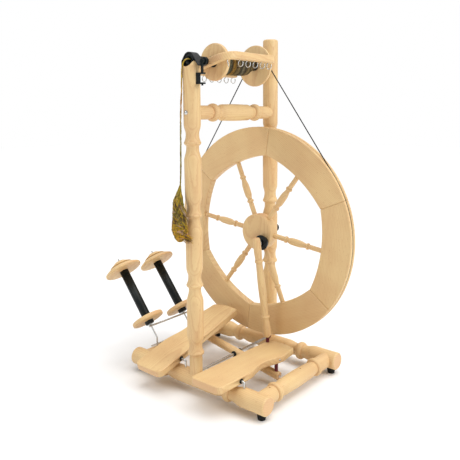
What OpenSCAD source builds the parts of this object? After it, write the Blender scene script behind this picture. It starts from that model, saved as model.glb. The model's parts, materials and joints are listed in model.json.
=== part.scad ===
// Upright castle spinning wheel with a double treadle, a bobbin-lead flyer and a two-bobbin rack.
// Millimetres. X runs along the floor beams, Y from the front post to the rear post, Z up.
// The origin is on the floor, under the middle of the machine's bounding box.

/* [Frame] */
// Length of the front and rear beams
beam_l = 390; // [370:5:430]
// Height of the beams' centre line above the floor
beam_z = 31; // [30:1:34]
// Distance between the front and the rear beam
frame_d = 268; // [266:1:276]
// Height of the front post
front_post_h = 706; // [706:1:707]
// Height of the rear post
rear_post_h = 772; // [760:2:800]
// Radius of the posts
post_r = 17.6; // [17.4:0.1:18]
// Sideways place of the two side rails
rail_x = 168; // [164:1:172]
// Height of the upper rail between the posts
upper_rail_z = 603; // [598:1:610]

/* [Wheel] */
// Outer diameter of the wheel
wheel_d = 500; // [480:5:510]
// Height of the wheel's axle
wheel_z = 320; // [318:1:326]
// Thickness of the rim
rim_t = 20; // [18:1:22]
// Radius of the hub
hub_r = 43.5; // [42:0.5:46]
// Distance from the axle to the crank pin
crank_throw = 31; // [29:1:33]

/* [Treadles] */
// Height of the treadles' axle wires
treadle_z = 63.5; // [63:0.5:65]
// Thickness of a treadle board
treadle_t = 16; // [14:1:16]
// Tilt of the right treadle, toe up
tilt_right = -1.5; // [-3:0.5:0]
// Tilt of the left treadle, toe up
tilt_left = 15; // [14:0.5:16]
// Tilt of the rocker bar, right end down
rocker_tilt = 10.5; // [9:0.5:11]

/* [Flyer] */
// Height of the flyer's axis
flyer_z = 708; // [708:1:709]
// Turn of the flyer yoke about its axis
flyer_turn = 14; // [0:1:30]
// Radius of a bobbin's front flange
flange_r = 39; // [36:1:40]
// Radius of a bobbin's pulley flange
pulley_flange_r = 46; // [42:1:46]

/* [Bobbin rack] */
// Lean of the rack's spindles away from the machine
rack_lean = 39; // [34:1:44]
// Radius of the rack's steel wire
rack_wire_r = 1.9; // [1.6:0.1:2]

/* [Hidden] */
$fn = 64;

beech = "BurlyWood";
steel = "Silver";
black = [0.1, 0.1, 0.1];
maroon = [0.35, 0.08, 0.1];

// Beams and rails
beam_r = 20;
beam_barrel_r = 18;
beam_neck_r = 14.5;
rail_r = 17;
rail_barrel_r = 18;
rail_neck_r = 14.5;
rail_bead_r = 20.4;
upper_rail_r = 14.6;
tenon_r = 7;
tenon_l = 16;
rack_hole_depth = 12;
rack_hole_front_y = 40;
rack_hole_rear_y = 152;

// Posts
post_foot_r = 14;
post_neck_r = 13.2;
post_barrel_r = post_r + 0.4;
post_collar_r = post_r + 0.3;
first_collar_z = 92;
collar_pitch = 150;

// Feet
foot_x = 178;
foot_h = 13;
foot_top_r = 9.5;
foot_bottom_r = 8;
screw_head_r = 4.6;

// Wheel, which turns about Y in front of the rear post
rim_y = 228;
hub_front_y = 212;
hub_back_y = 240;
rim_segments = 6;
segment_turn = 360 / rim_segments;
first_segment_angle = 52.5;
inner_arc_r = 296;
inner_arc_offset = 120;
groove_depth = 4;
groove_half_w = 3.5;
spoke_r = 5.6;
spoke_socket_r = 4;
wheel_axle_r = 6;
crank_angle = -40.5;
crank_x = crank_throw * cos(crank_angle);
crank_z = wheel_z + crank_throw * sin(crank_angle);
crank_pin_r = 4;
crank_housing_r = 18;
crank_housing_front_y = 197;

// Footman, the rod between the right treadle and the crank
footman_x = 51;
footman_y = 190;
footman_z = 81;
footman_top = [33, 170, 318];
footman_pin_r = 4.4;
connector_r = 4;

// Treadles, in the plane of the board, with s along the board and 0 at the axle wire
treadle_inner_x = 46;
treadle_outer_x = 126;
treadle_waist_x = 114;
treadle_toe_x = 118;
heel_s = -67;
toe_s = 208;
axle_wire_r = 2.5;
axle_inner_leg_x = 31;
axle_outer_leg_x = 134.5;
axle_bend_r = 5;
bushing_r = 5;

// Rocker, a bar that lets one treadle rise as the other falls
rocker_y = 138;
rocker_z = 44;
rocker_r = 9.5;
rocker_half_l = 124;
rocker_rod_r = 3.3;
rocker_pin_r = 1.5;
rocker_pin_l = 3.4;
rocker_link_x = 114;

// Flyer and bobbin, along Y
drum_r = 13;
drum_front_y = -7;
flyer_front_y = 42;
flyer_shaft_r = 4;
bobbin_y = 58.5;
bobbin_tube_r = 11;
bobbin_l = 174;
flange_y = 8;
flange_t = 10;
pulley_y = 148;
pulley_groove_y = 162;
pulley_groove_r = 22.5;
running_gap = 0.06;

// Drive band
band_r = 1.25;
band_gap = 0.35;
band_wheel_r = wheel_d / 2 - groove_depth + band_r + band_gap;
band_pulley_r = pulley_groove_r + band_r + band_gap;
band_centres = flyer_z - wheel_z;
band_lean = asin((band_wheel_r - band_pulley_r) / band_centres);

// Rack
rack_bend_z = 69;
rack_bobbin_start = 37;
rack_cross_at = 31;
rack_spindle_l = 219;

// Yarn, from the orifice down to the fibre bundle
yarn_r = 1.3;
yarn_route = [
    [0, -3, 709], [-0.5, -8, 709.5], [-2.5, -11, 709], [-5, -13.5, 706.5], [-6.8, -16.5, 701],
    [-7.6, -18.5, 693], [-7.8, -20, 683], [-7.6, -20.5, 672], [-7.5, -21, 658], [-8, -21, 644],
    [-9.3, -21, 630], [-11, -21, 610], [-12, -21, 588], [-12.8, -21, 560], [-13.2, -21, 530],
    [-13.7, -21, 505], [-14, -21.5, 482], [-14.2, -22.5, 466], [-14.3, -23.5, 455], [-14.4, -26, 440],
    [-14, -29, 424], [-12.5, -30.5, 408], [-10.5, -31, 392], [-9.5, -31, 380]
];
yarn_in_bundle = 6;

// Machine coordinates have the front post's axis at x = 0, y = 0. This moves them to the part's origin,
// half way from the rack's outermost flange to the rim and half way from the right heel to the axle knob.
knob_back = 11;
rack_reach = rail_x + (rack_bobbin_start + pulley_y + 4) * sin(rack_lean) + pulley_flange_r * cos(rack_lean);
heel_reach = heel_s * cos(tilt_right) + treadle_t / 2 * sin(tilt_right);
centre_x = (rack_reach - wheel_d / 2) / 2;
centre_y = -(frame_d + post_r + knob_back + heel_reach) / 2;

// ---- Shared shapes ----

// Puts a node that is drawn in machine coordinates at the part's origin
module placed() translate([centre_x, centre_y, 0]) children();

// Turns a piece that is drawn along +Z to lie along +X or +Y
module along_x() rotate([0, 90, 0]) children();
module along_y() rotate([-90, 0, 0]) children();

// Smooth step between two points of an outline, without the last point. The first number of a point eases.
function ease(a, b, n = 5) = [for (i = [0 : n - 1]) let (t = i / n)
    [a[0] + (b[0] - a[0]) * (1 - cos(180 * t)) / 2, a[1] + (b[1] - a[1]) * t]];

// A half-round bead that stands on a turned shaft
function bead(r, crest, z, half_w, n = 6) = [
    for (i = [0 : n]) [r + (crest - r) * sin(180 * i / n), z - half_w * cos(180 * i / n)]
];

// Solid turned from an outline of [radius, height] points
module turned(outline) {
    last = len(outline) - 1;
    rotate_extrude() polygon(concat([[0, outline[0][1]]], outline, [[0, outline[last][1]]]));
}

// Mirrors a half outline about z = 0, so that the piece is the same at both ends
function both_ways(half) = concat([for (i = [len(half) - 1 : -1 : 1]) [half[i][0], -half[i][1]]], half);

// ---- Frame ----

// Half of a floor beam, from its middle to its end
beam_end = beam_l / 2;
beam_half = concat(
    [[beam_barrel_r, 0]],
    ease([beam_barrel_r, 58], [beam_neck_r, 82]),
    [[beam_neck_r, 86]],
    bead(beam_neck_r + 0.5, beam_r + 0.8, 95, 7.5),
    [[beam_neck_r + 1, 104], [beam_neck_r + 1, 108]],
    ease([beam_neck_r + 1, 109], [beam_r, 132]),
    [[beam_r, 134], [beam_r, beam_end - 2.5], [beam_r - 2.5, beam_end]]
);

module beam_blank() along_x() turned(both_ways(beam_half));

// Half of a side rail, from its middle to the beam it meets
rail_half = concat(
    ease([rail_barrel_r, 0], [rail_barrel_r - 0.8, 46]),
    ease([rail_barrel_r - 0.8, 46], [rail_neck_r, 66]),
    [[rail_neck_r, 68]],
    bead(rail_neck_r + 0.5, rail_bead_r, 75, 6.5),
    [[rail_r - 0.6, 83], [rail_r, 88], [rail_r, 126]]
);

upper_half = concat(
    ease([18.3, 0], [17.7, 42]),
    ease([17.7, 42], [12.6, 55]),
    [[12.6, 60]],
    bead(12.6, 19.2, 71.5, 8.5),
    [[upper_rail_r - 0.8, 84], [upper_rail_r, 88], [upper_rail_r, 130]]
);

module rail_blank(x) {
    translate([x, frame_d / 2, beam_z]) along_y() turned(both_ways(rail_half));
}

module side_rail(x) difference() {
    rail_blank(x);
    for (y = [0, frame_d]) translate([x - 30, y, beam_z]) along_x() cylinder(h = 60, r = beam_r);
    for (y = [rack_hole_front_y, rack_hole_rear_y]) rack_hole(x, y);
}

module rack_hole(x, y) {
    translate([x, y, beam_z + rail_r - rack_hole_depth]) cylinder(h = 30, r = rack_wire_r + 0.1);
}

module beam(y, rod_side) translate([0, y, 0]) difference() {
    translate([0, 0, beam_z]) beam_blank();
    translate([0, 0, beam_z + beam_barrel_r - tenon_l]) cylinder(h = 40, r = tenon_r);
    translate([0, rod_side * 8, rocker_z]) rotate([-90 * rod_side, 0, 0]) cylinder(h = 30, r = rocker_rod_r);
    for (x = [-foot_x, foot_x]) foot_socket(x);
}

module foot_socket(x) {
    translate([x, 0, 0]) cylinder(h = foot_h, r = foot_top_r);
}

module front_beam() placed() color(beech) difference() {
    beam(0, 1);
    for (side = [-1, 1], x = [axle_inner_leg_x, axle_outer_leg_x])
        translate([side * x, 0, beam_z + 8]) cylinder(h = 30, r = axle_wire_r);
}

module rear_beam() placed() color(beech) beam(frame_d, -1);

module side_rail_left() placed() color(beech) side_rail(-rail_x);
module side_rail_right() placed() color(beech) side_rail(rail_x);

// Outline of one collar on a post: a barrel's end, a neck, the collar and the next barrel's start
function collar(z) = concat(
    ease([post_barrel_r, z - 38], [post_neck_r, z - 12]),
    [[post_neck_r, z - 8]],
    above_collar_neck(z)
);

// The ring of a collar, the cove above it and the start of the next barrel
function above_collar_neck(z) = concat(
    [[16.6, z - 4.5], [post_collar_r, z - 1.5], [post_collar_r, z + 1], [17, z + 2.8], [15.8, z + 5]],
    [[14.8, z + 8], [post_neck_r + 0.8, z + 12]],
    ease([post_neck_r + 0.6, z + 16], [post_r, z + 37]),
    [[post_r, z + 37]]
);

// The first collar stands on a plain foot in place of a barrel
post_foot = concat(
    [[post_foot_r, 20], [post_foot_r, first_collar_z - 12], [post_neck_r, first_collar_z - 8]],
    above_collar_neck(first_collar_z)
);

function post_outline(top) = concat(
    post_foot,
    [for (k = [1 : 3]) each collar(first_collar_z + k * collar_pitch)],
    [[post_r, top - 5], [post_r - 0.9, top - 2.4], [post_r - 2.6, top - 0.6], [post_r - 4.6, top]]
);

module post_blank(y, top) translate([0, y, 0]) {
    difference() {
        turned(post_outline(top));
        translate([-30, 0, beam_z]) along_x() cylinder(h = 60, r = beam_barrel_r);
    }
    translate([0, 0, beam_z + beam_barrel_r - tenon_l]) cylinder(h = tenon_l + 4, r = tenon_r);
}

module upper_rail_socket() {
    translate([0, post_r - 12, upper_rail_z]) along_y() cylinder(h = frame_d - 2 * post_r + 24, r = tenon_r);
}

module front_post() placed() color(beech) difference() {
    post_blank(0, front_post_h);
    upper_rail_socket();
    translate([0, -40, flyer_z]) along_y() cylinder(h = 80, r = drum_r + 1.3);
    translate([-(drum_r + 1.3), -40, flyer_z]) cube([2 * (drum_r + 1.3), 80, 30]);
    translate([0, -40, upper_rail_z]) along_y() cylinder(h = 50, r = 2.5);
    translate([0, -post_r - 4, upper_rail_z]) along_y() cylinder(h = 5, r = screw_head_r);
    translate([0, 8, rocker_z]) along_y() cylinder(h = 30, r = rocker_rod_r);
}

module rear_post() placed() color(beech) difference() {
    post_blank(frame_d, rear_post_h);
    upper_rail_socket();
    translate([0, frame_d - 40, wheel_z]) along_y() cylinder(h = 80, r = wheel_axle_r + 3);
    translate([0, frame_d - 40, flyer_z]) along_y() cylinder(h = 40, r = flyer_shaft_r + 2.5);
    translate([0, frame_d - 10, upper_rail_z]) along_y() cylinder(h = 50, r = 2.5);
    translate([0, frame_d + post_r - 1, upper_rail_z]) along_y() cylinder(h = 5, r = screw_head_r);
    translate([0, frame_d - 38, rocker_z]) along_y() cylinder(h = 30, r = rocker_rod_r);
}

module upper_rail() placed() color(beech) {
    difference() {
        translate([0, frame_d / 2, upper_rail_z]) along_y() turned(both_ways(upper_half));
        for (y = [0, frame_d]) translate([0, y, upper_rail_z - 30]) cylinder(h = 60, r = post_r);
    }
    for (y = [post_r - 11, frame_d - post_r - 5])
        translate([0, y, upper_rail_z]) along_y() cylinder(h = 16, r = tenon_r);
}

module foot() {
    cylinder(h = foot_h - 3, r1 = foot_bottom_r, r2 = foot_top_r, $fn = 48);
    translate([0, 0, foot_h - 3]) cylinder(h = 3, r = foot_top_r, $fn = 48);
}

module feet() placed() color(black) {
    for (x = [-foot_x, foot_x], y = [0, frame_d]) translate([x, y, 0]) foot();
}

// Button-head screws that hold the upper rail. Their heads sit in spot faces 1 mm deep.
module button_screw(l) {
    cylinder(h = l, r = 2.5);
    intersection() {
        translate([0, 0, -2.6]) cylinder(h = 3.6, r = screw_head_r);
        translate([0, 0, 3.2]) sphere(r = 5.8);
    }
}

module frame_screws() placed() color(steel) {
    translate([0, -post_r, upper_rail_z]) along_y() button_screw(2 * post_r - 12);
    translate([0, frame_d + post_r, upper_rail_z]) rotate([90, 0, 0]) button_screw(2 * post_r - 12);
}

// ---- Wheel ----

// Turns a piece from the wheel's +X direction to an angle, seen from the front
module on_wheel(angle) translate([0, 0, wheel_z]) rotate([0, -angle, 0]) children();

module rim_ring() translate([0, rim_y, 0]) along_y() rotate_extrude($fn = 180) polygon([
    [150, -rim_t / 2], [wheel_d / 2 - 2, -rim_t / 2], [wheel_d / 2, -rim_t / 2 + 2],
    [wheel_d / 2, -groove_half_w], [wheel_d / 2 - groove_depth, -1], [wheel_d / 2 - groove_depth, 1],
    [wheel_d / 2, groove_half_w], [wheel_d / 2, rim_t / 2 - 2], [wheel_d / 2 - 2, rim_t / 2], [150, rim_t / 2]
]);

// One sixth of the rim, with its middle along +X. Its inner edge is flatter than the wheel's own circle.
module rim_segment(k) placed() color(beech) on_wheel(first_segment_angle - k * segment_turn) difference() {
    intersection() {
        rim_ring();
        translate([0, rim_y - rim_t, 0]) along_y() linear_extrude(2 * rim_t) polygon([
            [0, 0], [wheel_d, wheel_d * tan(segment_turn / 2)], [wheel_d, -wheel_d * tan(segment_turn / 2)]
        ]);
    }
    translate([-inner_arc_offset, rim_y - rim_t, 0]) along_y()
        cylinder(h = 2 * rim_t, r = inner_arc_r, $fn = 180);
    translate([inner_arc_r - inner_arc_offset - 10, rim_y, 0]) along_x() cylinder(h = 32, r = spoke_socket_r);
}

module rim_segment_1() rim_segment(0);
module rim_segment_2() rim_segment(1);
module rim_segment_3() rim_segment(2);
module rim_segment_4() rim_segment(3);
module rim_segment_5() rim_segment(4);
module rim_segment_6() rim_segment(5);

spoke_outline = concat(
    [[spoke_r, hub_r - 4], [spoke_r + 0.4, 68]],
    bead(spoke_r - 0.4, 8.1, 77, 3.4),
    ease([spoke_r - 0.3, 81], [8.2, 94]),
    [[8.4, 104]],
    ease([8.2, 114], [spoke_r - 0.3, 133]),
    bead(spoke_r - 0.4, 7.8, 137, 3.2),
    [[spoke_r - 0.2, 143], [spoke_r, 150], [spoke_r - 0.2, inner_arc_r - inner_arc_offset + 2]]
);

module spokes() placed() color(beech) for (k = [0 : rim_segments - 1])
    on_wheel(first_segment_angle - k * segment_turn) translate([0, rim_y, 0]) along_x() {
        difference() {
            turned(spoke_outline);
            translate([0, -rim_t, 0]) rotate([-90, 0, 0]) cylinder(h = 2 * rim_t, r = hub_r);
            translate([0, -rim_t, -inner_arc_offset]) rotate([-90, 0, 0]) spoke_end_cutter();
        }
        translate([0, 0, hub_r - 14]) cylinder(h = 16, r = spoke_socket_r);
        translate([0, 0, inner_arc_r - inner_arc_offset - 3]) cylinder(h = 22, r = spoke_socket_r);
    }

// Trims a spoke's outer end to the rim's inner edge
module spoke_end_cutter() difference() {
    cylinder(h = 2 * rim_t, r = inner_arc_r + 30, $fn = 180);
    translate([0, 0, -1]) cylinder(h = 2 * rim_t + 2, r = inner_arc_r, $fn = 180);
}

hub_outline = [
    [hub_r - 2, 0], [hub_r, 2], [hub_r, hub_back_y - hub_front_y - 2], [hub_r - 2, hub_back_y - hub_front_y]
];

module hub() placed() color(beech) difference() {
    translate([0, hub_front_y, wheel_z]) along_y() turned(hub_outline);
    for (k = [0 : rim_segments - 1]) on_wheel(first_segment_angle - k * segment_turn)
        translate([hub_r - 14, rim_y, 0]) along_x() cylinder(h = 20, r = spoke_socket_r);
    translate([0, wheel_axle_front_y, wheel_z]) along_y() cylinder(h = 40, r = wheel_axle_r);
    translate([crank_x, hub_front_y - 1, crank_z]) along_y() cylinder(h = 13, r = crank_pin_r);
}

wheel_axle_front_y = hub_front_y + 8;

module wheel_axle() placed() color(steel) {
    translate([0, wheel_axle_front_y, wheel_z]) along_y()
        cylinder(h = frame_d + post_r + 6 - wheel_axle_front_y, r = wheel_axle_r);
}

module axle_knob() placed() color(black) difference() {
    front_y = frame_d + post_barrel_r + 2.4;
    translate([0, front_y, wheel_z]) along_y() turned([
        [8, 0], [9.5, 1.5], [9.5, 4.6], [7.5, 7], [4, frame_d + post_r + knob_back - front_y]
    ]);
    translate([0, frame_d + post_r, wheel_z]) along_y() cylinder(h = 6, r = wheel_axle_r);
}

// Flanged plain bearings in the rear post
module axle_bearing() difference() {
    union() {
        cylinder(h = 12, r = wheel_axle_r + 3);
        translate([0, 0, -2]) cylinder(h = 2, r = wheel_axle_r + 5);
    }
    translate([0, 0, -3]) cylinder(h = 20, r = wheel_axle_r + running_gap);
}

module crank_housing() placed() color(black) difference() {
    translate([crank_x, crank_housing_front_y, crank_z]) along_y() turned([
        [9, 2.5], [10, 0], [16, 0], [crank_housing_r, 2],
        [crank_housing_r, hub_front_y - crank_housing_front_y]
    ]);
    translate([crank_x, crank_housing_front_y - 5, crank_z]) along_y() cylinder(h = 30, r = crank_pin_r);
}

crank_pin_front_y = footman_top[1] + 13.8;

module crank_pin() placed() color(steel) {
    translate([crank_x, crank_pin_front_y, crank_z]) along_y()
        cylinder(h = hub_front_y + 12 - crank_pin_front_y, r = crank_pin_r);
    translate([crank_x, crank_housing_front_y - 3.5, crank_z]) along_y() cylinder(h = 6, r = 7.5, $fn = 6);
}

// ---- Treadles ----

// Points along a round corner
function corner(cx, cy, r, from, to, n = 6) = [
    for (i = [0 : n]) let (a = from + (to - from) * i / n) [cx + r * cos(a), cy + r * sin(a)]
];

treadle_outline = concat(
    corner(treadle_inner_x + 12, heel_s + 12, 12, 180, 270),
    corner(treadle_outer_x - 13, heel_s + 13, 13, 270, 360),
    ease([treadle_outer_x, 25], [treadle_waist_x, 88], 7),
    ease([treadle_waist_x, 88], [treadle_outer_x - 1, 150], 7),
    ease([treadle_outer_x - 1, 150], [treadle_toe_x + 2, toe_s - 14], 4),
    corner(treadle_toe_x - 7, toe_s - 15, 9, 0, 80),
    [[(treadle_inner_x + treadle_toe_x) / 2, toe_s]],
    corner(treadle_inner_x + 7, toe_s - 10, 7, 95, 180)
);

// Board drawn for the right side, on edge about its axle wire
module treadle_board() difference() {
    translate([0, 0, -treadle_t / 2]) linear_extrude(treadle_t) polygon(treadle_outline);
    translate([treadle_inner_x - 5, 0, 0]) along_x() cylinder(h = 90, r = axle_wire_r + 0.5);
    for (x = [treadle_inner_x - 5, treadle_outer_x - 9])
        translate([x, 0, 0]) along_x() cylinder(h = 14, r = bushing_r);
}

module tilted(tilt) translate([0, 0, treadle_z]) rotate([tilt, 0, 0]) children();

module bushings() for (x = [treadle_inner_x - 1.5, treadle_outer_x - 9]) difference() {
    translate([x, 0, 0]) along_x() cylinder(h = 10.5, r = bushing_r);
    translate([x - 1, 0, 0]) along_x() cylinder(h = 13, r = axle_wire_r + running_gap);
}

module treadle_right() placed() color(beech) difference() {
    tilted(tilt_right) treadle_board();
    translate([footman_x, footman_y, treadle_z - 9]) cylinder(h = 30, r = connector_r);
}

module treadle_left() placed() color(beech) tilted(tilt_left) mirror([1, 0, 0]) treadle_board();

module treadle_bushings_right() placed() color(black) tilted(tilt_right) bushings();
module treadle_bushings_left() placed() color(black) tilted(tilt_left) mirror([1, 0, 0]) bushings();

// Wire that carries a treadle: a straight run, two bends and two legs in the front beam
module axle_wire() color(steel) {
    leg_l = treadle_z - axle_bend_r - beam_z - 8;
    translate([axle_inner_leg_x + axle_bend_r, 0, treadle_z]) along_x()
        cylinder(h = axle_outer_leg_x - axle_inner_leg_x - 2 * axle_bend_r, r = axle_wire_r);
    for (x = [axle_inner_leg_x, axle_outer_leg_x])
        translate([x, 0, beam_z + 8]) cylinder(h = leg_l, r = axle_wire_r);
    translate([axle_inner_leg_x + axle_bend_r, 0, treadle_z - axle_bend_r]) rotate([90, 0, 0])
        rotate_extrude_quarter(90);
    translate([axle_outer_leg_x - axle_bend_r, 0, treadle_z - axle_bend_r]) rotate([90, 0, 0])
        rotate_extrude_quarter(0);
}

module rotate_extrude_quarter(start) rotate([0, 0, start]) rotate_extrude(angle = 90)
    translate([axle_bend_r, 0]) circle(r = axle_wire_r, $fn = 24);

module treadle_axle_right() placed() axle_wire();
module treadle_axle_left() placed() mirror([1, 0, 0]) axle_wire();

// ---- Footman and rocker ----

footman_l = norm(footman_top - [footman_x, footman_y, footman_z]);

footman_outline = concat(
    [[9.2, 0], [10, 2]],
    ease([10, 8], [8, 44]),
    bead(7.8, 10.1, 48, 3.2),
    ease([7.8, 52], [9, 120], 4),
    ease([9, 130], [7.8, 176], 4),
    bead(7.8, 9.8, 183, 3.2),
    [[8.2, 188], [9.2, 204], [8.6, footman_l - 4], [6.8, footman_l - 0.8], [4, footman_l]]
);

module footman() placed() color(beech) difference() {
    d = footman_top - [footman_x, footman_y, footman_z];
    translate([footman_x, footman_y, footman_z]) rotate([0, acos(d[2] / footman_l), atan2(d[1], d[0])])
        turned(footman_outline);
    translate([footman_x - 15, footman_y, footman_z]) along_x()
        cylinder(h = 30, r = footman_pin_r + running_gap);
}

module footman_connector() placed() color(maroon) {
    translate([footman_x, footman_y, treadle_z - 9]) cylinder(h = footman_z - treadle_z + 9, r = connector_r);
    translate([footman_x - 6, footman_y, footman_z]) along_x() cylinder(h = 12, r = footman_pin_r);
}

module on_rocker() translate([0, rocker_y, rocker_z]) rotate([0, rocker_tilt, 0]) children();

module rocker_link_hole(side) {
    translate([side * rocker_link_x, rocker_y, link_foot_z(side)]) cylinder(h = 20, r = connector_r);
}

// Height of the middle of the rocker under a link, and of the board's underside above it
function link_foot_z(side) = rocker_z - side * rocker_link_x * tan(rocker_tilt) - 3;
function board_under_z(tilt) = treadle_z + rocker_y * tan(tilt) - treadle_t / 2 / cos(tilt);

module rocker() placed() color(beech) difference() {
    on_rocker() translate([-rocker_half_l, 0, 0]) along_x() turned([
        [rocker_r - 1, 0], [rocker_r, 1], [rocker_r, 2 * rocker_half_l - 1], [rocker_r - 1, 2 * rocker_half_l]
    ]);
    translate([0, rocker_y - 20, rocker_z]) along_y() cylinder(h = 40, r = rocker_rod_r + 1.7);
    for (side = [-1, 1]) rocker_link_hole(side);
    on_rocker() for (x = [-rocker_half_l, rocker_half_l - rocker_pin_l])
        translate([x, 0, 0]) along_x() cylinder(h = rocker_pin_l, r = rocker_pin_r);
}

module rocker_bushing() placed() color(black) translate([0, rocker_y, rocker_z]) difference() {
    union() {
        translate([0, -rocker_r, 0]) along_y() cylinder(h = 2 * rocker_r, r = rocker_rod_r + 1.7);
        for (y = [-rocker_r - 3, rocker_r])
            translate([0, y, 0]) along_y() cylinder(h = 3, r = rocker_rod_r + 3);
    }
    translate([0, -20, 0]) along_y() cylinder(h = 40, r = rocker_rod_r + running_gap);
}

module rocker_rod() placed() color(steel) {
    translate([0, 8, rocker_z]) along_y() cylinder(h = frame_d - 16, r = rocker_rod_r);
}

module rocker_connectors() placed() color(maroon) for (side = [-1, 1]) {
    top = board_under_z(side > 0 ? tilt_right : tilt_left) - 1.5;
    foot = link_foot_z(side);
    translate([side * rocker_link_x, rocker_y, foot]) cylinder(h = top - foot, r = connector_r);
}

module rocker_pins() placed() color(steel) on_rocker() for (side = [-1, 1])
    translate([side * rocker_half_l, 0, 0]) rotate([0, side * 90, 0]) {
        translate([0, 0, -rocker_pin_l]) cylinder(h = rocker_pin_l, r = rocker_pin_r);
        cylinder(h = 1.5, r = 3);
    }

// ---- Bobbins ----

// A bobbin along +Z, from the open end of its front bearing to the end of its pulley
module tube_shape() difference() {
    union() {
        cylinder(h = bobbin_l, r = 9);
        cylinder(h = pulley_y, r = bobbin_tube_r);
    }
    translate([0, 0, -1]) cylinder(h = bobbin_l + 2, r = flyer_shaft_r + running_gap);
}

module flange_shape() difference() {
    translate([0, 0, flange_y]) turned([
        [flange_r - 2.5, 0], [flange_r - 0.7, 0.8], [flange_r, 2.5],
        [flange_r, flange_t - 2.5], [flange_r - 0.7, flange_t - 0.8], [flange_r - 2.5, flange_t]
    ]);
    cylinder(h = 60, r = bobbin_tube_r);
}

module pulley_shape() difference() {
    turned([
        [pulley_flange_r - 2, pulley_y], [pulley_flange_r - 0.5, pulley_y + 0.6],
        [pulley_flange_r, pulley_y + 2], [pulley_flange_r, pulley_y + 4],
        [pulley_flange_r - 1.5, pulley_y + 6], [33, pulley_y + 9.5],
        [pulley_groove_r, pulley_groove_y - 1], [pulley_groove_r, pulley_groove_y + 1],
        [30.5, pulley_groove_y + 3.8], [29, pulley_groove_y + 5], [16.5, bobbin_l - 2], [13, bobbin_l]
    ]);
    cylinder(h = 2 * bobbin_l, r = 9);
}

module on_flyer_axis() translate([0, bobbin_y, flyer_z]) along_y() children();

module bobbin_tube() placed() color(black) on_flyer_axis() tube_shape();
module bobbin_flange() placed() color(beech) on_flyer_axis() flange_shape();
module bobbin_pulley() placed() color(beech) on_flyer_axis() pulley_shape();

wound_outline = concat(
    [[22, flange_y + flange_t], [24.5, 25], [24, 60], [23.6, 95]],
    ease([23, 105], [12, 135]),
    [[bobbin_tube_r + 0.4, 136]]
);

module wound_yarn() placed() color([0.3, 0.22, 0.1]) on_flyer_axis() difference() {
    turned(wound_outline);
    cylinder(h = bobbin_l, r = bobbin_tube_r);
}

// ---- Bobbin rack ----

// Moves a piece that is drawn along +Z to the slanted part of a rack spindle
module on_spindle(y, at = 0)
    translate([-rail_x, y, rack_bend_z]) rotate([0, -rack_lean, 0]) translate([0, 0, at]) children();

module rack_spindle(y) placed() color(steel) {
    translate([-rail_x, y, beam_z + rail_r - rack_hole_depth])
        cylinder(h = rack_bend_z - beam_z - rail_r + rack_hole_depth, r = rack_wire_r);
    translate([-rail_x, y, rack_bend_z]) sphere(r = rack_wire_r);
    on_spindle(y) cylinder(h = rack_spindle_l, r = rack_wire_r);
    on_spindle(y, rack_bobbin_start - 2.5) cylinder(h = 2, r = 5);
}

module rack_spindle_front() rack_spindle(rack_hole_front_y);
module rack_spindle_rear() rack_spindle(rack_hole_rear_y);

rack_base_z = beam_z + rail_bead_r + rack_wire_r;

module rack_base_wire() placed() color(steel) difference() {
    translate([-rail_x, rack_hole_front_y - 18, rack_base_z]) along_y()
        cylinder(h = 148, r = rack_wire_r - 0.3);
    for (y = [rack_hole_front_y, rack_hole_rear_y])
        translate([-rail_x, y, 30]) cylinder(h = 40, r = rack_wire_r);
}

module rack_crossbar() placed() color(steel) difference() {
    on_spindle(rack_hole_front_y, rack_cross_at) translate([rack_wire_r + 1, -9, 0]) rotate([-90, 0, 0])
        cylinder(h = rack_hole_rear_y - rack_hole_front_y + 18, r = rack_wire_r + 0.3);
    for (y = [rack_hole_front_y, rack_hole_rear_y]) on_spindle(y) cylinder(h = 60, r = rack_wire_r);
}

module on_rack(y) on_spindle(y, rack_bobbin_start) children();

module spare_front_tube() placed() color(black) on_rack(rack_hole_front_y) tube_shape();
module spare_front_flange() placed() color(beech) on_rack(rack_hole_front_y) flange_shape();
module spare_front_pulley() placed() color(beech) on_rack(rack_hole_front_y) pulley_shape();
module spare_rear_tube() placed() color(black) on_rack(rack_hole_rear_y) tube_shape();
module spare_rear_flange() placed() color(beech) on_rack(rack_hole_rear_y) flange_shape();
module spare_rear_pulley() placed() color(beech) on_rack(rack_hole_rear_y) pulley_shape();

// ---- Flyer ----

module on_flyer() translate([0, 0, flyer_z]) rotate([0, -flyer_turn, 0]) children();

yoke_t = 16;
arm_inner_x = 49;
arm_outer_x = 61;
arm_end_y = 204;
yoke_back_y = 57;
arm_drop = 3;

// Half of the yoke's outline, from its middle round to the arm's end and back
yoke_half = concat(
    [[0, flyer_front_y]],
    [[22, flyer_front_y]],
    corner(arm_outer_x - 34, flyer_front_y + 34, 34, 270, 360, 8),
    corner(arm_outer_x - 6, arm_end_y - 6, 6, 0, 180, 8),
    corner(arm_inner_x - 14, yoke_back_y + 14, 14, 0, -90, 5),
    [[0, yoke_back_y]]
);

module flyer_yoke() placed() color(beech) on_flyer() difference() {
    for (side = [0, 1]) mirror([side, 0, 0])
        translate([0, 0, -yoke_t / 2 - arm_drop]) linear_extrude(yoke_t) polygon(yoke_half);
    translate([0, flyer_front_y - 5, 0]) along_y() cylinder(h = 30, r = flyer_shaft_r);
}

// Black tube: the drum that runs in the front post, then a neck with two side holes for the yarn
orifice_r = 4.5;
mouth_r = 7.5;
mouth_depth = 4;
neck_y = 16;
yarn_hole_y = 30;

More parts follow.
